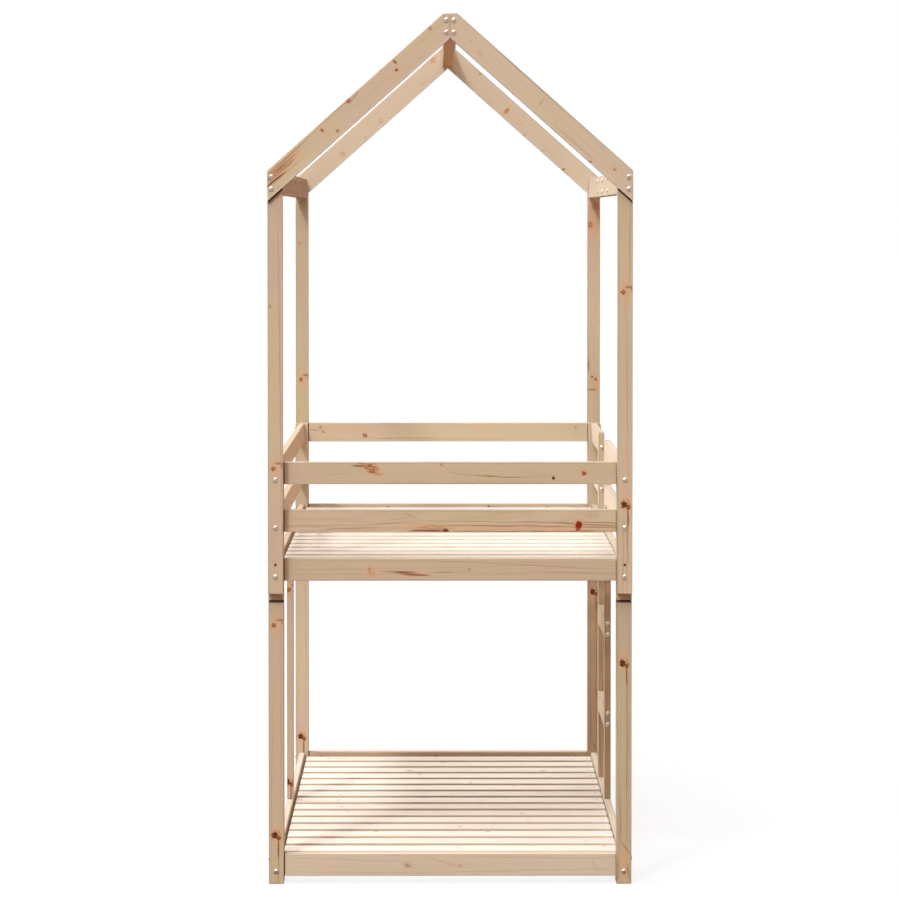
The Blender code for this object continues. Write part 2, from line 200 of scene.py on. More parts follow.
# The distance of the nearest knot where a board has none, in knot radii
NO_KNOT = 99.0


def knot_group():
    """How far a point is from the nearest knot, in knot radii, what that knot is like, and how much
    the grain bends round the knots"""
    carried = ["Distance", "Darkness", "Redness", "Bend"]
    own = ["Middle", "Weights", "Radius", "Own Darkness", "Own Redness"]
    tree, g, entry, exit_ = new_group("knot", ["Point"] + carried + own, carried)
    away = g.vector("SUBTRACT", entry["Point"], entry["Middle"])
    weighted = g.vector("MULTIPLY", away, entry["Weights"])
    wobble = g.noise(entry["Point"], KNOT_WOBBLE_SCALE, 3.0, 0.65)
    plain = g.math("DIVIDE", g.vector("LENGTH", weighted), entry["Radius"])
    distance = g.times(plain, g.math("MULTIPLY_ADD", wobble, *KNOT_WOBBLE))
    nearer = g.math("LESS_THAN", distance, entry["Distance"])
    for label in ("Darkness", "Redness"):
        step = g.minus(entry["Own " + label], entry[label])
        g.feed(g.math("MULTIPLY_ADD", nearer, step, entry[label]), exit_[label])
    g.feed(g.math("MINIMUM", distance, entry["Distance"]), exit_["Distance"])
    squared = g.math("POWER", g.math("DIVIDE", plain, BEND_REACH), 2.0)
    falling = g.math("EXPONENT", g.times(squared, -1.0))
    bend = g.times(g.times(falling, entry["Radius"]), BEND_SHARE)
    g.feed(g.plus(entry["Bend"], bend), exit_["Bend"])
    return tree


# Streaks. Those broader than BROAD_STREAK, in mm, tint the wood, and the others stain it. A fade is
# the limits between which a ramp runs, with the levels at its ends where those aren't 0 and 1.
STREAK_GAIN = 1.45
BROAD_STREAK = 4.0
STREAK_SWAY = 6 * MM
STREAK_SWAY_SCALES = (11.0, 6.0)
STREAK_FADE = (1.6, 0.4)
BRUSH_SCALES = (22.0, 260.0)
BRUSH_FADE = (0.3, 0.6, 0.6, 1.0)


def streak_group():
    """A stain drawn out along the grain, added to the stains before it"""
    inputs = ["Point", "Amount", "Middle", "Across", "Half Length", "Half Width", "Slope", "Strength"]
    tree, g, entry, exit_ = new_group("streak", inputs, ["Amount"])
    away = g.vector("SUBTRACT", entry["Point"], entry["Middle"])
    along = g.split(away)[0]
    across = g.vector("DOT_PRODUCT", away, entry["Across"])
    sway = g.grain_noise(entry["Point"], STREAK_SWAY_SCALES, 1.0)
    sway = g.times(g.minus(sway, 0.5), STREAK_SWAY)
    across = g.minus(across, g.times(along, entry["Slope"]))
    across = g.plus(across, sway)
    reach = g.math("POWER", g.math("DIVIDE", along, entry["Half Length"]), 2.0)
    spread = g.math("POWER", g.math("DIVIDE", across, entry["Half Width"]), 2.0)
    distance = g.math("SQRT", g.plus(reach, spread))
    brush = g.grain_noise(entry["Point"], BRUSH_SCALES)
    share = g.times(g.ramp(distance, *STREAK_FADE), g.ramp(brush, *BRUSH_FADE))
    own = g.math("MULTIPLY", g.times(share, entry["Strength"]), STREAK_GAIN, clamp=True)
    g.feed(g.math("MAXIMUM", entry["Amount"], own), exit_["Amount"])
    return tree


# Colours of the wood
LIGHT_WOOD = (0.575, 0.464, 0.330, 1)
YELLOW_WOOD = (0.563, 0.463, 0.302, 1)
PINK_WOOD = (0.582, 0.440, 0.336, 1)
PALE_WOOD = (0.805, 0.720, 0.640, 1)
RING_WOOD = (0.400, 0.250, 0.140, 1)
STAIN_WOOD = (0.230, 0.085, 0.030, 1)
TINT_WOOD = (0.700, 0.345, 0.160, 1)
DEEP_TINT_WOOD = (0.400, 0.180, 0.085, 1)
BLACK_KNOT = (0.058, 0.025, 0.008, 1)
RED_KNOT = (0.250, 0.020, 0.006, 1)
BORE_PAINTED_SHADE = (0.020, 0.010, 0.006, 1)
GAP_PAINTED_SHADE = (0.040, 0.016, 0.008, 1)

# What the wood's colour is multiplied by at a board's edges, as painted light and shade: painted
# bounce light on faces that look down, a painted light line elsewhere at its lower edges, and
# painted shade at its upper ones
DOWN_FACE_PAINTED_BOUNCE = (1.5, 1.9, 2.7, 1)
LOWER_EDGE_PAINTED_LIGHT = (0.98, 1.06, 1.25, 1)
UPPER_EDGE_PAINTED_SHADE = (0.72, 0.74, 0.82, 1)

# Growth rings, and how far they sway
RING_SPACING = 3.4 * MM
RING_SWAY = 15 * MM
RING_SWAY_SCALES = (1.3, 8.0)
FINE_RING_SWAY = 2.0 * MM
FINE_RING_SWAY_SCALES = (8.0, 45.0)
LATE_WOOD_RISE = (0.30, 0.93)
LATE_WOOD_FALL = (0.93, 1.0, 1.0, 0.0)
RING_STRENGTH_SCALE = 95.0
RING_STRENGTH_FADE = (0.3, 0.7, 0.15, 1.0)

# Scales of the noises along and across the grain, per metre, and what they change
FIBRE_SCALES = (14.0, 620.0)
FIBRE_SHADE = 0.12
CLOUD_SCALES = (3.0, 12.0)
CLOUD_SHADE = 0.16
DARKEST_SHADE = 0.86
PATCH_SCALES = (3.5, 14.0)
YELLOW_PATCH_FADE = (0.50, 0.30)
PINK_PATCH_FADE = (0.50, 0.70)
DEEP_TINT_FADE = (0.42, 0.62)

# A knot from its halo to its heart, with distances in knot radii
HALO_FADE = (3.0, 1.0)
HALO_STRENGTH = (0.40, 0.30)
CORE_FADE = (1.5, 1.05)
KNOT_RINGS = 17.0
KNOT_RING_FADE = (-1.0, 1.0, 0.0, 0.35)
PALE_HEART_FADE = (1.0, 0.75, 0.0, 0.6)
DARK_RIM_FADE = (0.6, 0.95)

# Painted light and shade at edges, end grain, and painted shade in bores and gaps, mostly by the
# depth under a board's surface
PALE_FACE_FADE = (0.5 * MM, 2.0 * MM, 0.30, 1.0)
EDGE_FADE = (4.2 * MM, 1.6 * MM)
END_EDGE_FADE = (3.0 * MM, 0.8 * MM)
END_GRAIN_FADE = (1.2 * MM, 0.2 * MM)
END_GRAIN_SHARE = 0.35
BORE_FADE = (0.6 * MM, 1.6 * MM)
BORE_FROM_END = 60 * MM
BORE_LIMIT = 0.9
GAP_SHADE_FADE = (5.0 * MM, 2.0 * MM)
GAP_SHADE_SHARE = 0.92
FACING_DOWN_FADE = (-0.7, 0.0)
UPPER_EDGE_FADE = (-0.5, 0.5)
PALE_EDGE_LIGHT_FADE = (0.9, 0.3)

# Roughness and bumps of plain wood, fibres, rings and knots
WOOD_ROUGHNESS = 0.48
FIBRE_ROUGHNESS = 0.16
KNOT_ROUGHNESS = 0.25
FIBRE_HEIGHT = 0.55
RING_HEIGHT = 0.30
KNOT_DENT = 0.5
BUMP = (0.30, 0.4 * MM)


def growth_rings(g, entry, place):
    """Rings round the pith, as how late the wood is in its year and how much that shows"""
    x, y, z = g.split(entry["Point"])
    _, pith_y, pith_z = g.split(entry["Pith"])
    _, tilt_y, tilt_z = g.split(entry["Tilt"])
    ring_y = g.minus(g.minus(y, pith_y), g.times(x, tilt_y))
    ring_z = g.minus(g.minus(z, pith_z), g.times(x, tilt_z))
    radius = g.vector("LENGTH", g.join(0.0, ring_y, ring_z))
    sway = g.grain_noise(place, RING_SWAY_SCALES)
    fine_sway = g.grain_noise(place, FINE_RING_SWAY_SCALES)
    radius = g.plus(radius, g.times(sway, RING_SWAY))
    radius = g.plus(radius, g.times(fine_sway, FINE_RING_SWAY))
    radius = g.plus(radius, entry["Bend"])
    phase = g.math("FRACT", g.math("DIVIDE", radius, RING_SPACING))
    late = g.times(g.ramp(phase, *LATE_WOOD_RISE), g.ramp(phase, *LATE_WOOD_FALL))
    unevenness = g.add("TexNoise", noise_dimensions="1D")
    g.feed(g.times(radius, RING_STRENGTH_SCALE), unevenness.inputs["W"])
    strong = g.ramp(unevenness.outputs["Fac"], *RING_STRENGTH_FADE)
    return late, g.times(g.times(late, strong), entry["Lines"])


def clear_wood(g, entry, place, ring_share, fibre, to_side):
    """The colour of the wood with its rings, patches, fibres, tints and stains. Tone, tint and
    paleness are the wood's own on some boards and painted shade or light on others
    """
    _, half_y, half_z = g.split(entry["Half Size"])
    patch = g.plus(g.grain_noise(place, PATCH_SCALES), entry["Rosiness"])
    wood = g.mix(g.ramp(patch, *YELLOW_PATCH_FADE), LIGHT_WOOD, YELLOW_WOOD)
    wood = g.mix(g.ramp(patch, *PINK_PATCH_FADE), wood, PINK_WOOD)
    wood = g.mix(ring_share, wood, RING_WOOD)
    # Narrow faces keep less of the paleness, so the shaded lines between slats come out darker and warmer:
    # painted shade
    on_face = g.ramp(to_side, *PALE_FACE_FADE)
    on_face = g.math("MAXIMUM", on_face, g.math("GREATER_THAN", half_z, half_y))
    wood = g.mix(g.times(entry["Paleness"], on_face), wood, PALE_WOOD)
    cloud = g.grain_noise(place, CLOUD_SCALES)
    shade = g.plus(g.times(fibre, FIBRE_SHADE), g.times(cloud, CLOUD_SHADE))
    shade = g.times(g.plus(shade, DARKEST_SHADE), entry["Tone"])
    wood = g.mix(1.0, wood, g.join(shade, shade, shade), "MULTIPLY")
    tint = g.mix(g.ramp(entry["Tint"], *DEEP_TINT_FADE), TINT_WOOD, DEEP_TINT_WOOD)
    wood = g.mix(entry["Tint"], wood, tint)
    return g.mix(entry["Stain"], wood, STAIN_WOOD)


def knotted_wood(g, entry, wood):
    """Wood with the knots and their halos, and how far a point is inside a knot"""
    distance, darkness, redness = entry["Distance"], entry["Darkness"], entry["Redness"]
    halo_strength = g.times(g.math("MULTIPLY_ADD", redness, *HALO_STRENGTH), darkness)
    wood = g.mix(g.times(g.ramp(distance, *HALO_FADE), halo_strength), wood, TINT_WOOD)
    heart = g.mix(redness, BLACK_KNOT, RED_KNOT)
    rings = g.ramp(g.math("SINE", g.times(distance, KNOT_RINGS)), *KNOT_RING_FADE)
    lighter_heart = g.mix(g.ramp(darkness, *PALE_HEART_FADE), heart, TINT_WOOD)
    heart = g.mix(g.math("MAXIMUM", rings, g.ramp(distance, *DARK_RIM_FADE)), lighter_heart, heart)
    core = g.times(g.ramp(distance, *CORE_FADE), darkness)
    return g.mix(core, wood, heart), core


def edges_ends_and_painted_shade(g, entry, wood, to_end, to_side, to_face):
    """Wood with painted light and shade along its edges, its end grain, and painted shade in bores and gaps
    """
    z, half_z = g.split(entry["Point"])[2], g.split(entry["Half Size"])[2]
    to_surface = g.math("MINIMUM", to_side, to_face)
    edge = g.ramp(g.plus(to_side, to_face), *EDGE_FADE)
    end_edge = g.ramp(g.plus(to_end, to_surface), *END_EDGE_FADE)
    facing = g.split(g.add("NewGeometry").outputs["True Normal"])[2]
    # Faces that look down get painted bounce light, other lower edges a painted light line, upper edges
    # painted shade
    lower_edge_light = g.mix(g.ramp(facing, *FACING_DOWN_FADE), DOWN_FACE_PAINTED_BOUNCE, LOWER_EDGE_PAINTED_LIGHT)
    edge_shade = g.mix(g.ramp(g.math("DIVIDE", z, half_z), *UPPER_EDGE_FADE), lower_edge_light, UPPER_EDGE_PAINTED_SHADE)
    edge_light_share = g.times(g.math("MAXIMUM", edge, end_edge), g.ramp(entry["Paleness"], *PALE_EDGE_LIGHT_FADE))
    wood = g.mix(1.0, wood, g.mix(edge_light_share, (1, 1, 1, 1), edge_shade), "MULTIPLY")
    end_grain = g.times(g.ramp(to_end, *END_GRAIN_FADE), END_GRAIN_SHARE)
    wood = g.mix(end_grain, wood, g.mix(1.0, wood, RING_WOOD, "MULTIPLY"))
    # Surfaces deep inside a bore are painted dark: painted shade
    bore = g.times(g.ramp(to_surface, *BORE_FADE), g.ramp(to_end, 0.0, BORE_FROM_END))
    bore = g.math("GREATER_THAN", g.times(bore, entry["Bored"]), BORE_LIMIT)
    wood = g.mix(bore, wood, BORE_PAINTED_SHADE)
    # Painted shade next to the gap at a board's end
    gap = g.times(g.ramp(entry["Gap"], *GAP_SHADE_FADE), GAP_SHADE_SHARE)
    return g.mix(gap, wood, GAP_PAINTED_SHADE)


def pine_group():
    """Pine as a solid, with the roughness and the bumps of its fibres, rings and knots"""
    inputs = ["Point", "Half Size", "Seed", "Pith", "Tilt", "Distance", "Darkness", "Redness", "Bend"]
    inputs += ["Stain", "Tone", "Lines", "Paleness", "Gap", "Rosiness", "Tint", "Bored"]
    tree, g, entry, exit_ = new_group("pine", inputs, ["Color", "Roughness", "Normal"])
    seed = entry["Seed"]
    shift = g.join(seed, g.times(seed, 1.7), g.times(seed, 0.6))
    place = g.vector("ADD", entry["Point"], shift)
    sizes = zip(g.split(entry["Half Size"]), g.split(entry["Point"]))
    to_end, to_side, to_face = (g.minus(half, g.math("ABSOLUTE", way)) for half, way in sizes)
    late, ring_share = growth_rings(g, entry, place)
    fibre = g.grain_noise(place, FIBRE_SCALES)
    wood = clear_wood(g, entry, place, ring_share, fibre, to_side)
    wood, core = knotted_wood(g, entry, wood)
    g.feed(edges_ends_and_painted_shade(g, entry, wood, to_end, to_side, to_face), exit_["Color"])
    rough = g.plus(WOOD_ROUGHNESS, g.times(fibre, FIBRE_ROUGHNESS))
    g.feed(g.plus(rough, g.times(core, KNOT_ROUGHNESS)), exit_["Roughness"])
    height = g.plus(g.times(fibre, FIBRE_HEIGHT), g.times(late, RING_HEIGHT))
    height = g.minus(height, g.times(core, KNOT_DENT))
    bump = g.add("Bump", *BUMP)
    g.feed(height, bump.inputs["Height"])
    g.feed(bump.outputs[0], exit_["Normal"])
    return tree


def new_material(name):
    """A material with its graph and its main shader"""
    material = bpy.data.materials.new(name)
    material.use_nodes = True
    return material, Graph(material.node_tree), material.node_tree.nodes["Principled BSDF"]


KNOT = knot_group()
STREAK = streak_group()
PINE = pine_group()

# Turns that bring a board's length to each way that it may run
GRAIN_TURNS = {"x": (0, 0, 0), "y": (0, 0, math.pi / 2), "z": (0, -math.pi / 2, 0)}


def twin_knots(along, across):
    """Two dark knots side by side with a tail of resin down the grain, as (knots, streaks)"""
    knots = [(along - 3, across + 6, 4.2, 1.2, 0.90, 0.30), (along + 4, across - 5, 6.0, 1.2, 0.98, 0.20)]
    streaks = [(along - 30, across + 5, 32, 2.0, 0.0, 0.75), (along + 8, across + 1, 24, 12, 0.0, 0.27)]
    streaks.append((along - 90, across + 5, 70, 1.3, 0.0, 0.36))
    streaks += [(along + 10, across - 9, 9, 2.4, 0.5, 0.4), (along + 10, across + 8, 10, 2.2, -0.5, 0.35)]
    streaks += [(along + 2, across - 2, 2.2, 12, 0.3, 0.3), (along + 9, across, 2.0, 8, -0.4, 0.3)]
    return knots, streaks


def antler_knot(along, across=0):
    """A reddish knot with a branching stain beside it, as (knots, streaks)"""
    knots = [(along, across - 6, 4.2, 1.1, 0.85, 0.45)]
    streaks = [(along + 14, across + 9, 3.0, 9.0, 0.0, 0.55), (along + 10, across + 16, 8, 2.2, 0.0, 0.5)]
    streaks.append((along + 3, across + 1, 30, 15, 0.0, 0.26))
    return knots, streaks


def put_together(*groups):
    """Several groups of (knots, streaks) as one"""
    knots, streaks = [], []
    for more_knots, more_streaks in groups:
        knots += more_knots
        streaks += more_streaks
    return knots, streaks


CURLED_END = [
    (-318, 2, 40, 12, 0.0, 0.28), (-332, -14, 40, 4, 0.05, 0.55), (-280, 5, 20, 1.8, -0.75, 0.5),
    (-205, -9.5, 65, 1.5, 0.0, 0.42), (-60, 7.5, 190, 1.4, 0.0, 0.42), (-345, 12, 22, 2.5, -0.2, 0.45),
]
FALSE_RINGS = [(-150, -12, 220, 1.2, 0.01, 0.2), (60, 12, 260, 1.2, -0.005, 0.2)]
LEFT_POST = put_together(twin_knots(-250, 1), antler_knot(310), ([], FALSE_RINGS))
RIGHT_POST = put_together(twin_knots(206, 1), ([], CURLED_END + FALSE_RINGS))
# A black disc painted where the bore opens on a house leg: painted shade of the hole
BORE_MOUTH_PAINTED_SHADE = ([(-456, 0, 2.7, 1.0, 1.0, 0.0)], [])

# Knots as (along, across, radius, stretch, darkness, redness) and streaks as (along, across, half
# length, half width, slope, strength), in mm from the middle of the face that the photograph shows,
# across towards +Z on a level board, towards +X on an upright one and outwards on a rafter
MARKS = {
    "front_upper_end_guard": (
        [(-212, 20, 3.0, 1.5, 0.85, 0.35), (-206, 6, 3.8, 1.4, 0.75, 0.45), (-196, 14, 4.0, 1.6, 0.4, 0.8),
         (273, -13, 3.1, 1.0, 1.0, 0.0), (353, 0, 4.3, 1.0, 0.9, 0.55), (-23, 22, 2.6, 1.4, 0.5, 0.2)],
        [(-207, 11, 25, 13, -0.25, 0.55), (-242, 20, 16, 2.4, 0.0, 0.8), (-231, 26, 14, 1.8, -0.1, 0.65),
         (-221, 16, 13, 2.0, -0.6, 0.6), (-200, 3, 12, 2.2, -0.7, 0.5), (-212, 25, 20, 2.0, 0.0, 0.6),
         (-202, 15, 8, 5.0, 0.0, 0.8), (-190, -2, 12, 2.0, 0.0, 0.5), (-297, -2, 24, 1.1, 0.05, 0.25),
         (-10, 14, 18, 1.2, -0.7, 0.25), (26, -1, 28, 1.1, -0.16, 0.3), (80, -6, 34, 1.3, -0.07, 0.4),
         (106, -7, 20, 1.5, 0.0, 0.7), (158, -9.5, 42, 1.2, -0.03, 0.5), (235, -8, 34, 1.2, 0.14, 0.15),
         (353, 1, 15, 9, 0.0, 0.2), (0, 27, 400, 1.5, 0.0, 0.18), (60, -26, 250, 1.4, 0.0, 0.2)],
    ),
    "front_lower_end_guard": (
        [(-12, -26, 4.0, 1.6, 0.95, 0.25), (339, -10, 8.0, 0.8, 1.0, 0.9), (337, -22, 4.0, 1.2, 0.9, 0.7)],
        [(-330, -11.5, 110, 1.3, 0.01, 0.32), (-165, -7, 65, 1.3, 0.07, 0.35),
         (-275, -20, 100, 1.4, 0.045, 0.4), (-250, -24, 90, 1.2, 0.02, 0.3), (-330, 6, 90, 1.1, 0.0, 0.15),
         (-105, 14, 18, 3.0, -0.5, 0.2), (-130, 6, 40, 1.6, 0.12, 0.2), (-60, -25.5, 44, 2.6, 0.0, 0.95),
         (-45, -17, 66, 9.0, -0.03, 0.42), (190, -19, 250, 8.0, 0.0, 0.20),
         (200, -2.5, 240, 1.3, -0.012, 0.38), (215, -13.5, 230, 1.5, -0.012, 0.5),
         (190, -27.5, 210, 1.6, 0.0, 0.6), (395, -4, 55, 1.3, -0.06, 0.5), (392, -11, 60, 1.5, -0.05, 0.6),
         (390, -17, 60, 1.5, -0.03, 0.55), (345, -27, 38, 2.0, 0.0, 0.85), (318, -7, 45, 1.6, -0.04, 0.5),
         (0, 25, 430, 1.4, 0.0, 0.14)],
    ),
    "front_upper_bed_end_rail": (
        [(51, 1, 3.6, 1.0, 0.3, 0.1)],
        [(-213, -2, 3.8, 12, 0.1, 0.16), (-203, -9, 3.8, 11, -0.2, 0.14), (-207, -5, 14, 14, 0.0, 0.42),
         (-212, -2, 7, 10, 0.0, 0.5), (-119, -6.5, 27, 2.7, -0.03, 0.9), (-100, -10, 44, 6.0, -0.04, 0.25),
         (-112, -11, 46, 2.2, -0.07, 0.62), (-88, -13.5, 32, 2.8, -0.03, 0.7),
         (-165, -4, 26, 1.4, 0.0, 0.32), (-22, -6, 34, 1.6, 0.02, 0.38), (30, -5, 30, 1.2, 0.02, 0.22),
         (255, 10, 150, 1.8, -0.05, 0.22), (340, -8, 120, 2.2, -0.03, 0.2),
         (150, -10, 120, 1.4, 0.0, 0.16), (-260, 2, 170, 1.2, 0.01, 0.16),
         (-250, -12, 180, 1.2, 0.0, 0.18), (100, 20, 300, 1.3, -0.01, 0.18), (0, -26, 400, 1.3, 0.0, 0.16)],
    ),
    "front_lower_bed_end_rail": (
        [(-114, -1, 2.6, 1.5, 0.6, 0.1), (-106, -3, 2.0, 1.5, 0.5, 0.1), (26, -2, 3.0, 1.2, 0.3, 0.3)],
        [(-20, 9, 46, 2.0, -0.28, 0.2), (0, 0, 40, 10, 0.0, 0.10), (-146, 25, 12, 1.5, 0.0, 0.25),
         (-120, 3, 9, 1.5, 0.3, 0.25), (-102, 2, 9, 1.5, -0.3, 0.22), (-112, -7, 12, 1.4, 0.0, 0.3),
         (379, 5, 2.2, 9, 0.15, 0.16), (384, -6, 2.2, 6, -0.6, 0.14), (390, -12, 22, 1.6, -0.1, 0.2),
         (210, -14, 220, 1.4, 0.02, 0.18), (-260, 14, 180, 1.4, -0.03, 0.16),
         (-240, -20, 190, 1.3, -0.01, 0.18), (230, 20, 190, 1.3, -0.02, 0.2),
         (400, 20, 60, 1.3, 0.05, 0.2), (-330, -6, 90, 1.2, 0.0, 0.14)],
    ),
    "back_upper_end_guard": (
        [(-261, -10, 5.0, 1.1, 0.8, 0.15), (-391, 2, 3.4, 1.1, 0.5, 0.3)],
        [(-330, 12, 90, 9, -0.03, 0.2), (-235, 4, 70, 4, 0.0, 0.2), (-422, 8, 18, 1.6, -0.1, 0.4),
         (108, 13, 32, 14, 0.0, 0.14), (0, -20, 300, 1.4, 0.0, 0.16), (-150, -18, 120, 2.0, 0.0, 0.16)],
    ),
    "front_left_house_leg": put_together(
        BORE_MOUTH_PAINTED_SHADE, antler_knot(-203), ([(224, -13, 2.6, 1.2, 0.5, 0.2)], [(60, 12, 420, 1.4, -0.01, 0.28)])
    ),
    "front_right_house_leg": put_together(
        BORE_MOUTH_PAINTED_SHADE, twin_knots(-301, 3), antler_knot(260, 1),
        ([], [(-420, 5, 90, 1.8, 0.0, 0.22), (-430, -4, 90, 2, 0.0, 0.2), (20, 5, 240, 1.5, -0.01, 0.26),
              (400, 12, 140, 1.4, 0.01, 0.3)]),
    ),
    "front_left_lower_post": LEFT_POST,
    "front_right_lower_post": RIGHT_POST,
    "back_left_lower_post": LEFT_POST,
    "back_right_lower_post": RIGHT_POST,
    "left_middle_post": put_together(twin_knots(-316, -3), antler_knot(245, 3)),
    "back_left_house_leg": put_together(antler_knot(-53, 2), ([(376, -8, 2.6, 1.2, 0.5, 0.3)], [])),
    "back_right_house_leg": (
        [(-53, 7, 3.5, 1.0, 0.85, 0.25), (-44, -5, 3.0, 1.0, 0.8, 0.25), (-6, -16, 2.5, 1.6, 0.6, 0.2),
         (434, -11, 5.5, 1.3, 0.6, 0.35)],
        [(-85, -4, 3.0, 12, 0.0, 0.6), (-62, 4, 26, 14, 0.0, 0.30), (-5, -16, 22, 1.8, 0.0, 0.5),
         (432, -4, 36, 18, 0.0, 0.30), (402, 0, 5, 14, 0.3, 0.35), (458, 0, 5, 14, -0.3, 0.35),
         (490, 4, 20, 18, 0.0, 0.4)],
    ),
    "front_left_rafter": (
        [(150, 18, 4.4, 0.6, 0.85, 0.45), (139, 0, 3.2, 1.0, 0.85, 0.1), (-8, 22, 4.0, 1.2, 0.8, 0.3),
         (-111, 12, 4.2, 0.6, 0.85, 0.35), (-82, -16, 3.4, 0.9, 0.75, 0.5), (277, 22, 3.5, 1.0, 0.5, 0.3)],
        [(-292, -4, 34, 2.4, -0.05, 0.9), (-262, 9, 66, 12, 0.0, 0.55), (-230, 20, 84, 1.6, 0.0, 0.45),
         (-240, 12, 60, 1.4, 0.03, 0.4), (-250, -8, 60, 1.6, 0.0, 0.3), (-60, 25, 60, 1.6, 0.0, 0.35),
         (12, 21, 14, 1.6, 0.2, 0.4), (-120, -8, 22, 5, 0.0, 0.15), (120, -4, 60, 8, 0.0, 0.08)],
    ),
    "front_right_rafter": (
        [(-254, -3, 1.8, 1.0, 0.5, 0.2), (250, -1, 3.2, 1.2, 0.5, 0.15), (188, -28, 2.2, 1.0, 0.8, 0.1),
         (-216, -9, 5.0, 1.3, 0.15, 0.5)],
        [(-11, 4, 3.0, 11, 0.0, 0.22), (238, -2, 24, 9, 0.0, 0.16), (120, -18, 64, 3, 0.0, 0.14),
         (-90, 26, 120, 1.8, 0.0, 0.3), (180, 2, 60, 4, 0.0, 0.12)],
    ),
    "back_left_rafter": (
        [(-127, -11, 5.5, 1.0, 0.25, 0.1), (33, -15, 5.5, 1.0, 0.22, 0.1), (-37, -20, 3.0, 1.0, 0.2, 0.4),
         (281, 19, 6.0, 1.0, 0.3, 0.7)],
        [(215, -17, 18, 2.0, -0.4, 0.16), (281, 19, 16, 10, 0.0, 0.25)],
    ),
    "back_right_rafter": (
        [(-73, -8, 6.5, 0.5, 0.6, 0.4), (183, -26, 3.2, 1.0, 0.8, 0.2), (-213, 23, 3.2, 1.0, 0.5, 0.3),
         (19, -28, 3.0, 1.2, 0.35, 0.3), (96, -25, 3.0, 1.2, 0.25, 0.3)],
        [(-74, -6, 7.0, 18, 0.0, 0.42), (-12, -4, 5.0, 14, 0.0, 0.22), (-42, -10, 28, 10, 0.0, 0.1)],
    ),
}

# The wood of a board of which nothing else is said. Lines are the strength of its rings, and bored is
# 1 where surfaces deep inside the board are bores, which are painted dark as shade. The gap, where
# there is one, is a place in the gap at the board's end, next to which the wood is painted dark as
# shade, and the way along which the board leaves it.
PLAIN_LOOK = {"tone": 1.0, "lines": 0.22, "paleness": 0.0, "tint": 0.0, "rosiness": -0.06}
PLAIN_LOOK |= {"shine": 0.25, "bored": 0.0, "gap": None}
SLOT_LOOKS = {"roof_pine": {"shine": 0.1}, "post_pine": {"bored": 1.0}, "rail_pine": {}}
# Right guards and side rails are made paler: painted light
RIGHT_SIDE_PAINTED_LIGHT = {"paleness": 0.25}

# What the photograph shows of single boards, with the two lengths of one beam or rail alike. The
# tints of the left eaves beam, the left guards, the left upper side rail, the ridge, the back right
# lower post, the back lower end rail and the ladder uprights, with the darker tones of those among
# them, are painted shade; the paleness of the right eaves beam is painted light.
OWN_LOOKS = {
    "front_upper_end_guard": {"lines": 0.10},
    "front_lower_end_guard": {"lines": 0.45},
    "front_upper_bed_end_rail": {"lines": 0.30},
    "front_lower_bed_end_rail": {"lines": 0.20, "paleness": 0.32, "rosiness": -0.20},
    "back_upper_end_guard": {"lines": 0.15, "paleness": 0.05},
    "back_lower_bed_end_rail": {"tint": 0.25},
    "front_left_house_leg": {"tone": 0.97, "rosiness": 0.03},
    "front_left_lower_post": {"rosiness": -0.10},
    "front_right_lower_post": {"tone": 0.92, "rosiness": -0.20},
    "front_right_upper_post": {"tone": 0.97},
    "back_right_lower_post": {"tone": 0.80, "lines": 0.70, "tint": 0.25},
    "front_left_rafter": {"paleness": 0.10},
    "front_right_rafter": {"paleness": 0.18},
    "back_left_rafter": {"tone": 0.96, "paleness": 0.25},
    "back_right_rafter": {"paleness": 0.25},
    "ridge_beam": {"tone": 0.86, "tint": 0.42},
    "left_eaves_beam": {"tone": 0.62, "tint": 0.26},
    "right_eaves_beam": {"paleness": 0.15},
    "left_upper_guard": {"tone": 1.06, "tint": 0.15},
    "left_lower_guard": {"tone": 1.06, "tint": 0.24},
    "left_upper_side_rail": {"tint": 0.20},
    "left_lower_side_rail": {"tone": 1.05, "paleness": 0.30},
    "right_near_upper_guard": {"tone": 0.93},
    "right_far_upper_guard": {"tone": 0.93},
    "ladder_near_upright": {"tone": 0.80, "lines": 0.70, "tint": 0.25},
    "ladder_far_upright": {"tone": 0.90, "lines": 0.70, "tint": 0.15},
}

# Knots drawn by chance: how far apart they are, and how near to a board's ends they may come
KNOT_SPACING = 340 * MM
SLAT_KNOT_SPACING = 500 * MM
FIRST_KNOT_FROM_END = 40 * MM
LAST_KNOT_FROM_END = 30 * MM
KNOT_ACROSS_SHARE = 0.8


def chance_marks(name, half_size, spacing):
    """Knots and streaks, in mm, at places drawn from the board's name"""
    chance = random.Random(name + " knots")
    half_length = half_size[0]
    across_limit = max(half_size[1:]) * KNOT_ACROSS_SHARE / MM
    knots, streaks = [], []
    place = -half_length + chance.uniform(FIRST_KNOT_FROM_END, spacing)
    while place < half_length - LAST_KNOT_FROM_END:
        along = place / MM
        across = chance.uniform(-across_limit, across_limit)
        radius = chance.uniform(2.0, 5.0)
        redness = chance.choice((0.1, 0.2, 0.45, 0.6))
        knots.append((along, across, radius, chance.uniform(1.0, 1.5), chance.uniform(0.35, 0.95), redness))
        tail = chance.uniform(15, 70) * chance.choice((-1, 1))
        half_width, strength = chance.uniform(1.0, 2.4), chance.uniform(0.05, 0.25)
        streaks.append((along + tail, across, abs(tail), half_width, chance.uniform(-0.04, 0.04), strength))
        place += chance.uniform(0.5, 1.5) * spacing
    return knots, streaks


# How boards differ by chance: how far the pith lies from the middle, how far it tilts, which part of
# the noises a board is cut from, and its tone
PITH_DISTANCES = (50 * MM, 160 * MM)
PITH_TILTS = (-0.012, 0.012)
SEEDS = (0, 40)
TONE_SPREAD = (0.96, 1.04)

# How far from a gap a board is that has none, in metres
NO_GAP = 1.0


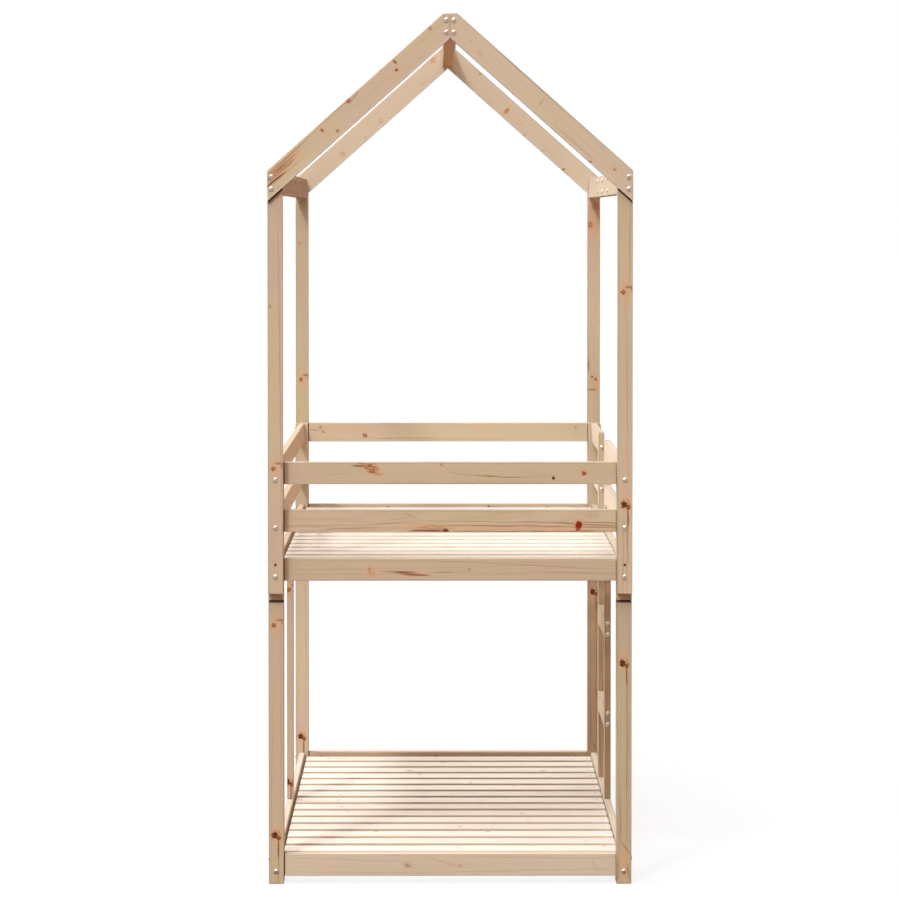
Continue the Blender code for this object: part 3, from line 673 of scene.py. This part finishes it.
def pine(name, centre, half_size, turn, through, marks, look):
    """Pine for one board, whose own X axis is its length. Knots go through it along its own Y or Z."""
    chance = random.Random(name)
    look = PLAIN_LOOK | look
    material, g, shader = new_material(name)
    coordinates = g.add("TexCoord").outputs["Object"]
    point = g.add("Mapping", coordinates, centre, turn, vector_type="TEXTURE").outputs[0]

    def own_place(along, across):
        along, across = along * MM, across * MM
        return (along, across, 0) if through == "z" else (along, -half_size[1], across)

    knots, streaks = marks
    nearest = (NO_KNOT, 0.0, 0.0, 0.0)
    for along, across, radius, stretch, darkness, redness in knots:
        weights = (1 / stretch, 1, 0) if through == "z" else (1 / stretch, KNOT_TAPER, 1)
        own = (own_place(along, across), weights, radius * MM, darkness, redness)
        nearest = tuple(g.group(KNOT, point, *nearest, *own))
    stain, tint = 0.0, look["tint"]
    across_way = (0, 1, 0) if through == "z" else (0, 0, 1)
    for along, across, half_length, half_width, slope, strength in streaks:
        own = (own_place(along, across), across_way, half_length * MM, half_width * MM, slope, strength)
        if min(half_length, half_width) < BROAD_STREAK:
            stain = g.group(STREAK, point, stain, *own)[0]
        else:
            tint = g.group(STREAK, point, tint, *own)[0]
    pith_angle = chance.uniform(0, 2 * math.pi)
    pith_distance = chance.uniform(*PITH_DISTANCES)
    pith = (0, pith_distance * math.cos(pith_angle), pith_distance * math.sin(pith_angle))
    tilt = (0, chance.uniform(*PITH_TILTS), chance.uniform(*PITH_TILTS))
    seed = chance.uniform(*SEEDS)
    to_gap = NO_GAP
    if look["gap"]:
        gap_place, gap_way = look["gap"]
        to_gap = g.vector("DOT_PRODUCT", g.vector("SUBTRACT", coordinates, gap_place), gap_way)
    tone = look["tone"] * chance.uniform(*TONE_SPREAD)
    cut = (point, half_size, seed, pith, tilt)
    rest = (look["lines"], look["paleness"], to_gap, look["rosiness"], tint, look["bored"])
    wood = g.group(PINE, *cut, *nearest, stain, tone, *rest)
    for value, label in zip(wood, ("Base Color", "Roughness", "Normal")):
        g.feed(value, shader.inputs[label])
    shader.inputs["Specular IOR Level"].default_value = look["shine"]
    return material


def board_pine(name, low, high, look, rising_side=0, marks=None, spacing=KNOT_SPACING):
    """Pine for a board that fills the box between two corners, or a rafter that rises across it"""
    centre = (Vector(low) + Vector(high)) / 2
    half = (Vector(high) - Vector(low)) / 2
    if rising_side:
        turn = (0, rising_side * ROOF_ANGLE, 0)
        centre.z = low[2] + half.x * math.tan(ROOF_ANGLE) + RAFTER_HEIGHT / 2 / math.cos(ROOF_ANGLE)
        own_half = (half.x / math.cos(ROOF_ANGLE) + RAFTER_HEIGHT, half.y, RAFTER_HEIGHT / 2)
        down = Vector((rising_side * math.cos(ROOF_ANGLE), 0, -math.sin(ROOF_ANGLE)))
        centre += RAFTER_MARKS_DROP * down
        axis = "x"
    else:
        axis = "xyz"[max(range(3), key=lambda index: half[index])]
        turn = GRAIN_TURNS[axis]
        own_half = {"x": half.xyz, "y": half.yxz, "z": half.zyx}[axis]
    through = "z" if own_half[2] < own_half[1] else "y"
    if marks is None:
        marks = chance_marks(name, own_half, spacing)
    elif axis == "z":
        through = "y"
        knots, streaks = marks
        knots = [(along, -across, *rest) for along, across, *rest in knots]
        streaks = [(a, -c, length, width, -slope, share) for a, c, length, width, slope, share in streaks]
        marks = (knots, streaks)
    return pine(name + "_pine", centre, own_half, turn, through, marks, look)


def slot_of(name):
    """The material slot of a board's CAD node"""
    if "rafter" in name or "beam" in name:
        return "roof_pine"
    if "post" in name and "guard" not in name and "middle" not in name or "leg" in name:
        return "post_pine"
    return "rail_pine"


def add_object(name, data):
    thing = bpy.data.objects.new(name, data)
    bpy.context.scene.collection.objects.link(thing)
    return thing


def new_mesh(name, shape):
    mesh = bpy.data.meshes.new(name)
    shape.to_mesh(mesh)
    shape.free()
    return mesh


def add_piece(name, mesh, material):
    piece = add_object(name, mesh)
    mesh.materials.clear()
    mesh.materials.append(material)
    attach(piece, "root")
    return piece


def head_ways(name):
    """The kinds of bolt head on a board, with the way that each stands out of it"""
    side = -1 if "left" in name else 1
    end = -1 if "front" in name else 1
    if name.endswith("house_leg"):
        return [("end_face_bolts", (0, end, 0))]
    if name.endswith("lower_post"):
        return [("side_face_bolts", (side, 0, 0)), ("end_face_bolts", (0, end, 0))]
    if name.endswith("upper_post"):
        return [("side_face_bolts", (side, 0, 0))]
    if name.endswith("rafter"):
        return [("roof_bolts", (0, end, 0))]
    if "eaves_beam" in name:
        return [("eaves_lap_bolts", (-side * end, 0, 0))]
    if name in ("ladder_near_upright", "far_guard_post"):
        return [("ladder_bolts", (0, -1, 0))]
    if name in ("ladder_far_upright", "near_guard_post"):
        return [("ladder_bolts", (0, 1, 0))]
    return []


# Turned pieces as radius, height, radius and depth of the hexagon socket, and the share of the dome's
# quarter turn at which its edge starts
HEAD_RADIUS = 6.6 * MM
HEAD_HEIGHT = 2.6 * MM
BOLT_HEAD = (HEAD_RADIUS, HEAD_HEIGHT, 2.4 * MM, 1.6 * MM, 0.28)
BARREL_NUT = (5.0 * MM, 0.15 * MM, 2.0 * MM, 0.15 * MM, 0.6)
SCREW_HEAD = (3.6 * MM, 0.2 * MM, 1.3 * MM, 0.2 * MM, 0.6)
HEAD_SIDES = 24
DOME_STEPS = 5
HALF_FLAT = math.pi / 6
SHARP_ANGLE = math.radians(35)
SAME_POINT = 0.01 * MM

# Where the dome ends and how far the socket narrows, in socket radii
DOME_END_SHARE = 1.35
SOCKET_FLOOR_SHARE = 0.96


def take_heads_off(mesh, ways):
    """Cut the plain bolt heads off a board and close it, and give their places on its faces"""
    places = []
    shape = bmesh.new()
    shape.from_mesh(mesh)
    bmesh.ops.remove_doubles(shape, verts=shape.verts, dist=SAME_POINT)
    for kind, way in ways:
        way = Vector(way)
        level = max(vertex.co.dot(way) for vertex in shape.verts) - HEAD_HEIGHT
        tops = [vertex for vertex in shape.verts if vertex.co.dot(way) > level + HEAD_HEIGHT / 2]
        clusters = []
        for vertex in tops:
            near = [c for c in clusters if (c[0].co - vertex.co).length < 2 * HEAD_RADIUS]
            if near:
                near[0].append(vertex)
            else:
                clusters.append([vertex])
        for cluster in clusters:
            middle = sum((vertex.co for vertex in cluster), Vector()) / len(cluster)
            places.append((kind, middle - way * (middle.dot(way) - level), way))
        bmesh.ops.delete(shape, geom=tops, context="VERTS")
        open_edges = [edge for edge in shape.edges if edge.is_boundary]
        bmesh.ops.holes_fill(shape, edges=open_edges, sides=0)
    shape.to_mesh(mesh)
    shape.free()
    return places


# How far the painted gap shade is drawn from the ends of lower posts, upper posts and end rails
LOWER_POST_GAP_DROP = 1.2 * MM
UPPER_POST_GAP_DROP = 1.6 * MM
END_RAIL_GAP_SHIFT = 1.0 * MM


def gap_of(name, low, high):
    """A place in the gap at a board's end, next to which the wood is painted dark as shade, and the way
    along which the board leaves it
    """
    if "end" in name:
        return (low[0] - END_RAIL_GAP_SHIFT, low[1], low[2]), (1, 0, 0)
    if name.startswith("back"):
        return None
    if name.endswith("lower_post"):
        return (low[0], low[1], high[2] - LOWER_POST_GAP_DROP), (0, 0, -1)
    if name.endswith("upper_post"):
        return (low[0], low[1], low[2] - UPPER_POST_GAP_DROP), (0, 0, 1)
    if name.endswith("house_leg"):
        side = -1 if "left" in name else 1
        outer_x = low[0] if side < 0 else high[0]
        place = (outer_x, low[1], high[2] - (high[0] - low[0]) * math.tan(ROOF_ANGLE))
        return place, (-side * math.sin(ROOF_ANGLE), 0, -math.cos(ROOF_ANGLE))
    return None


def look_of(name, low, high):
    """The wood of a CAD board, from its kind, its own look and the gap at its end"""
    look = SLOT_LOOKS[slot_of(name)] | {"gap": gap_of(name, low, high)}
    if "right" in name and ("guard" in name or "side_rail" in name):
        look |= RIGHT_SIDE_PAINTED_LIGHT
    return look | OWN_LOOKS.get(name.removesuffix("_front").removesuffix("_back"), {})


def dress_boards():
    """Pine on every CAD board, without the plain bolt heads, whose places come back"""
    heads = []
    for name in sorted(NODES):
        if name.endswith("_pin") or "slat_base" in name:
            continue
        node = NODES[name]
        ways = head_ways(name)
        mesh = node.data.copy() if ways else node.data
        if ways:
            heads += take_heads_off(mesh, ways)
        axes = list(zip(*(vertex.co for vertex in mesh.vertices)))
        low, high = [min(axis) for axis in axes], [max(axis) for axis in axes]
        rising_side = (1 if "right" in name else -1) if name.endswith("rafter") else 0
        look = look_of(name, low, high)
        material = board_pine(name, low, high, look, rising_side, MARKS.get(name))
        if ways:
            piece = add_piece(f"{name}_board", mesh, material)
            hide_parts(name)
        else:
            mesh.materials.clear()
            mesh.materials.append(material)
    return heads


# Slats and ledgers, as in the part's source but for the rounding and the left clearance
SLAT_COUNT = 15
SLAT_WIDTH = 90 * MM
SLAT_THICKNESS = 18 * MM
SLAT_ROUNDING = 2.0 * MM
SLAT_END_MARGIN = 58.5 * MM
SLAT_LEFT_CLEARANCE = 7.0 * MM
SLAT_RIGHT_CLEARANCE = 3.0 * MM
LEDGER_WIDTH = 24 * MM
LEDGER_HEIGHT = 30 * MM
END_RAIL_INNER_Y = 1005 * MM

SLAT_TONES = (0.96, 1.05)
SLAT_LOOK = {"lines": 0.2, "paleness": 0.90, "shine": 0.5}
# The left ledger, seen in the gap beside the slats, is darkened and tinted: painted shade
LEFT_LEDGER_PAINTED_SHADE = {"tone": 0.35, "paleness": 0.0, "tint": 0.3}


def rounded_board(name, low, high):
    size = [b - a for a, b in zip(low, high)]
    centre = [(a + b) / 2 for a, b in zip(low, high)]
    shape = bmesh.new()
    bmesh.ops.create_cube(shape, size=1.0, matrix=Matrix.Translation(centre) @ Matrix.Diagonal((*size, 1.0)))
    rounding = {"offset": SLAT_ROUNDING, "segments": 2, "profile": 0.5}
    bmesh.ops.bevel(shape, geom=shape.edges[:], affect="EDGES", **rounding)
    return new_mesh(name, shape)


def slat_base(level):
    """Slats and ledgers as boards of their own, in place of the CAD base"""
    node = f"{level}_slat_base"
    low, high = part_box(node)
    reach = END_RAIL_INNER_Y - SLAT_END_MARGIN - SLAT_WIDTH / 2
    pitch = 2 * reach / (SLAT_COUNT - 1)
    boards = []
    for index in range(SLAT_COUNT):
        middle = index * pitch - reach
        corner_low = (low.x + SLAT_LEFT_CLEARANCE, middle - SLAT_WIDTH / 2, high.z - SLAT_THICKNESS)
        corner_high = (high.x - SLAT_RIGHT_CLEARANCE, middle + SLAT_WIDTH / 2, high.z)
        boards.append((f"{level}_slat_{index + 1}", corner_low, corner_high, SLAT_KNOT_SPACING))
    for side_name, side in SIDES:
        inner, outer = side * (high.x - LEDGER_WIDTH), side * high.x
        corner_low = (min(inner, outer), low.y, low.z)
        corner_high = (max(inner, outer), high.y, low.z + LEDGER_HEIGHT)
        boards.append((f"{level}_{side_name}_ledger", corner_low, corner_high, KNOT_SPACING))
    for name, corner_low, corner_high, spacing in boards:
        look = SLAT_LOOK | {"tone": random.Random(name).uniform(*SLAT_TONES)}
        if name.endswith("left_ledger"):
            look |= LEFT_LEDGER_PAINTED_SHADE
        material = board_pine(name, corner_low, corner_high, look, spacing=spacing)
        add_piece(name, rounded_board(name, corner_low, corner_high), material)
    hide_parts(node)
    return boards[:SLAT_COUNT]


PLATED_COLOURS = ((0.55, 0.47, 0.40, 1), (0.82, 0.74, 0.67, 1))
PLATED_ROUGHNESS = (0.22, 0.36)
DULL_COLOURS = ((0.42, 0.32, 0.28, 1), (0.60, 0.50, 0.45, 1))
DULL_ROUGHNESS = (0.42, 0.56)
SCUFF_SCALE = 900.0


def metal(name, dark, light, low_rough, high_rough):
    """Plated or plain metal with fine scuffs"""
    material, g, shader = new_material(name)
    shader.inputs["Metallic"].default_value = 1.0
    place = g.add("TexCoord").outputs["Object"]
    scuffs = g.noise(place, SCUFF_SCALE, 3.0)
    g.feed(g.mix(scuffs, dark, light), shader.inputs["Base Color"])
    g.feed(g.ramp(scuffs, 0.3, 0.7, low_rough, high_rough), shader.inputs["Roughness"])
    return material


def turned_rings(radius, height, socket_radius, socket_depth, rim):
    """Rings of a domed head from its rim to the floor of its socket"""
    rings = [(radius, 0.0, False)]
    for step in range(DOME_STEPS + 1):
        share = step / DOME_STEPS
        rise = math.sin(math.pi / 2 * (rim + (1 - rim) * share))
        rings.append((radius + (socket_radius * DOME_END_SHARE - radius) * share, height * rise, False))
    socket_floor = (socket_radius * SOCKET_FLOOR_SHARE, height - socket_depth, True)
    return rings + [(socket_radius, height, True), socket_floor]


def add_turned(shape, place, way, rings):
    """One turned piece on a surface, given by its place and the way out of the surface"""
    turn = Vector((0, 0, 1)).rotation_difference(Vector(way)).to_matrix().to_4x4()
    matrix = Matrix.Translation(place) @ turn
    loops = []
    for radius, height, hexagonal in rings:
        loop = []
        for index in range(HEAD_SIDES):
            angle = 2 * math.pi * index / HEAD_SIDES
            reach = radius
            if hexagonal:
                from_flat = (angle + HALF_FLAT) % (2 * HALF_FLAT) - HALF_FLAT
                reach = radius * math.cos(HALF_FLAT) / math.cos(from_flat)
            point = Vector((reach * math.cos(angle), reach * math.sin(angle), height))
            loop.append(shape.verts.new(matrix @ point))
        loops.append(loop)
    for lower, upper in zip(loops, loops[1:]):
        for index in range(HEAD_SIDES):
            following = (index + 1) % HEAD_SIDES
            shape.faces.new((lower[index], lower[following], upper[following], upper[index]))
    shape.faces.new(loops[-1])
    shape.faces.new(list(reversed(loops[0])))


def add_turned_set(name, places, sizes, material):
    """Turned pieces of one kind, at their places and ways out of the surface, as one mesh"""
    shape = bmesh.new()
    for place, way in places:
        add_turned(shape, place, way, turned_rings(*sizes))
    mesh = new_mesh(name, shape)
    mesh.shade_smooth()
    mesh.set_sharp_from_angle(angle=SHARP_ANGLE)
    add_piece(name, mesh, material)


# Places of the barrel nuts and screws
EAVES_INNER_X = 443 * MM
RIDGE_HALF_WIDTH_LIMIT = 100 * MM
BOLT_OFFSET = 16 * MM
NUT_SETBACK = 76 * MM
RAIL_NUT_SETBACK = 38 * MM
SCREW_FROM_END = 16 * MM


def nut_places(heads):
    """Barrel nuts in the inner faces of eaves beams and the sides of the ridge, in line with bolts"""
    ridge_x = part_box("ridge_beam_front")[1].x
    places = []
    for kind, place, way in heads:
        if kind != "roof_bolts":
            continue
        along = place.y - way.y * (NUT_SETBACK + RAFTER_DEPTH)
        side = math.copysign(1, place.x)
        if abs(place.x) > RIDGE_HALF_WIDTH_LIMIT:
            places.append(((side * EAVES_INNER_X, along, place.z), (-side, 0, 0)))
        else:
            places.append(((side * ridge_x, along, place.z), (side, 0, 0)))
    return places


def rail_nut_places():
    """Barrel nuts in the inner faces of the end rails and guards, in line with the side bolts"""
    places = []
    for end_name, end in ENDS:
        for rail in ("upper_end_guard", "lower_end_guard", "upper_bed_end_rail", "lower_bed_end_rail"):
            low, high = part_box(f"{end_name}_{rail}")
            height = (low.z + high.z) / 2 + BOLT_OFFSET
            inner = high.y if end < 0 else low.y
            for side in (-1, 1):
                places.append(((side * (high.x - RAIL_NUT_SETBACK), inner, height), (0, -end, 0)))
    return places


def screw_places(slats):
    """One screw through each end of every slat into the ledger"""
    places = []
    for _, low, high, _ in slats:
        middle = (low[1] + high[1]) / 2
        for x in (low[0] + SCREW_FROM_END, high[0] - SCREW_FROM_END):
            places.append(((x, middle, high[2]), (0, 0, 1)))
    return places


def add_fittings(heads, slats):
    plated = metal("zinc_plated_steel", *PLATED_COLOURS, *PLATED_ROUGHNESS)
    dull = metal("dull_zinc", *DULL_COLOURS, *DULL_ROUGHNESS)
    for kind in ("end_face_bolts", "side_face_bolts", "roof_bolts", "ladder_bolts", "eaves_lap_bolts"):
        places = [(place, way) for own_kind, place, way in heads if own_kind == kind]
        material = dull if kind == "eaves_lap_bolts" else plated
        add_turned_set(kind, places, BOLT_HEAD, material)
    add_turned_set("barrel_nuts", nut_places(heads) + rail_nut_places(), BARREL_NUT, dull)
    add_turned_set("slat_screws", screw_places(slats), SCREW_HEAD, plated)


def add_light(name, kind, direction, strength, colour=(1, 1, 1)):
    light = add_object(name, bpy.data.lights.new(name, kind))
    light.rotation_euler = Vector(direction).to_track_quat("-Z", "Y").to_euler()
    light.data.energy = strength
    light.data.color = colour
    return light


def add_under_bed_lamp():
    """A soft lamp under the upper bed, for the lower slats"""
    light = add_light("under_bed_fill", "AREA", UNDER_BED_DIRECTION, UNDER_BED_POWER, UNDER_BED_COLOUR)
    light.location = UNDER_BED_PLACE
    light.data.shape = "RECTANGLE"
    light.data.size, light.data.size_y = UNDER_BED_SIZE


def add_world():
    """A white backdrop, dimmer in reflections from behind the camera and from the right"""
    world = bpy.data.worlds.new("studio")
    bpy.context.scene.world = world
    world.use_nodes = True
    g = Graph(world.node_tree)
    g.tree.nodes.clear()
    soft = g.add("Background", AMBIENT_COLOUR, AMBIENT_STRENGTH)
    rays = g.add("LightPath").outputs
    way_x, way_y, _ = g.split(g.add("TexCoord").outputs["Generated"])
    from_right = g.ramp(way_x, *REFLECTED_TO_RIGHT)
    from_front = g.ramp(way_y, *REFLECTED_TO_BACK)
    reflected = g.times(from_right, from_front)
    level = g.math("MAXIMUM", reflected, rays["Is Camera Ray"])
    white = g.add("Background", (1, 1, 1, 1), level)
    seen = g.math("MAXIMUM", rays["Is Camera Ray"], rays["Is Glossy Ray"])
    mix = g.add("MixShader", seen, soft.outputs[0], white.outputs[0])
    g.add("OutputWorld", mix.outputs[0])


def light_scene():
    add_light("key_light", "SUN", KEY_DIRECTION, KEY_STRENGTH).data.angle = KEY_ANGLE
    add_light("soft_key", "SUN", KEY_DIRECTION, SOFT_KEY_STRENGTH).data.angle = SOFT_KEY_ANGLE
    add_under_bed_lamp()
    add_light("top_light", "SUN", TOP_DIRECTION, TOP_STRENGTH).data.angle = TOP_ANGLE
    add_light("left_light", "SUN", LEFT_DIRECTION, LEFT_STRENGTH).data.angle = LEFT_ANGLE
    add_light("warm_fill", "SUN", WARM_DIRECTION, WARM_STRENGTH, WARM_COLOUR).data.angle = WARM_ANGLE
    add_world()


def add_floor():
    """White to the camera, but for the object's faint shadow, and a warm bounce for the wood"""
    shape = bmesh.new()
    bmesh.ops.create_grid(shape, x_segments=1, y_segments=1, size=FLOOR_SIZE / 2)
    mesh = new_mesh("floor", shape)
    floor = add_object("floor", mesh)
    floor.location.z = -FLOOR_DROP
    material, g, _ = new_material("pale_floor")
    g.tree.nodes.clear()
    matt = g.add("BsdfDiffuse", FLOOR_BOUNCE_COLOUR)
    pale = g.add("BsdfDiffuse", FLOOR_SEEN_COLOUR)
    white = g.add("Emission", (1, 1, 1, 1), 1.0)
    shown = g.add("MixShader", FLOOR_SHADOW_SHARE, white.outputs[0], pale.outputs[0])
    rays = g.add("LightPath").outputs
    floor_y = g.split(g.add("TexCoord").outputs["Object"])[1]
    in_front = g.math("LESS_THAN", floor_y, FRONT_FLOOR_EDGE_Y)
    shine = g.add("Emission", g.mix(in_front, SHINE_FROM_BACK_FLOOR, SHINE_FROM_FRONT_FLOOR), 1.0)
    mix = g.add("MixShader", rays["Is Glossy Ray"], matt.outputs[0], shine.outputs[0])
    mix = g.add("MixShader", rays["Is Camera Ray"], mix.outputs[0], shown.outputs[0])
    g.add("OutputMaterial", mix.outputs[0])
    mesh.materials.append(material)


def add_camera():
    data = bpy.data.cameras.new("camera")
    data.lens = CAMERA_LENS
    data.sensor_width = CAMERA_SENSOR_WIDTH
    data.shift_y = CAMERA_SHIFT_Y
    data.clip_end = CAMERA_REACH
    camera = add_object("camera", data)
    camera.location = CAMERA_PLACE
    camera.rotation_euler = (math.pi / 2 - CAMERA_PITCH, 0, -CAMERA_YAW)
    bpy.context.scene.camera = camera


bpy.context.scene.view_settings.view_transform = "Standard"
add_camera()
light_scene()
add_floor()
bolt_heads = dress_boards()
add_fittings(bolt_heads, slat_base("lower") + slat_base("upper"))
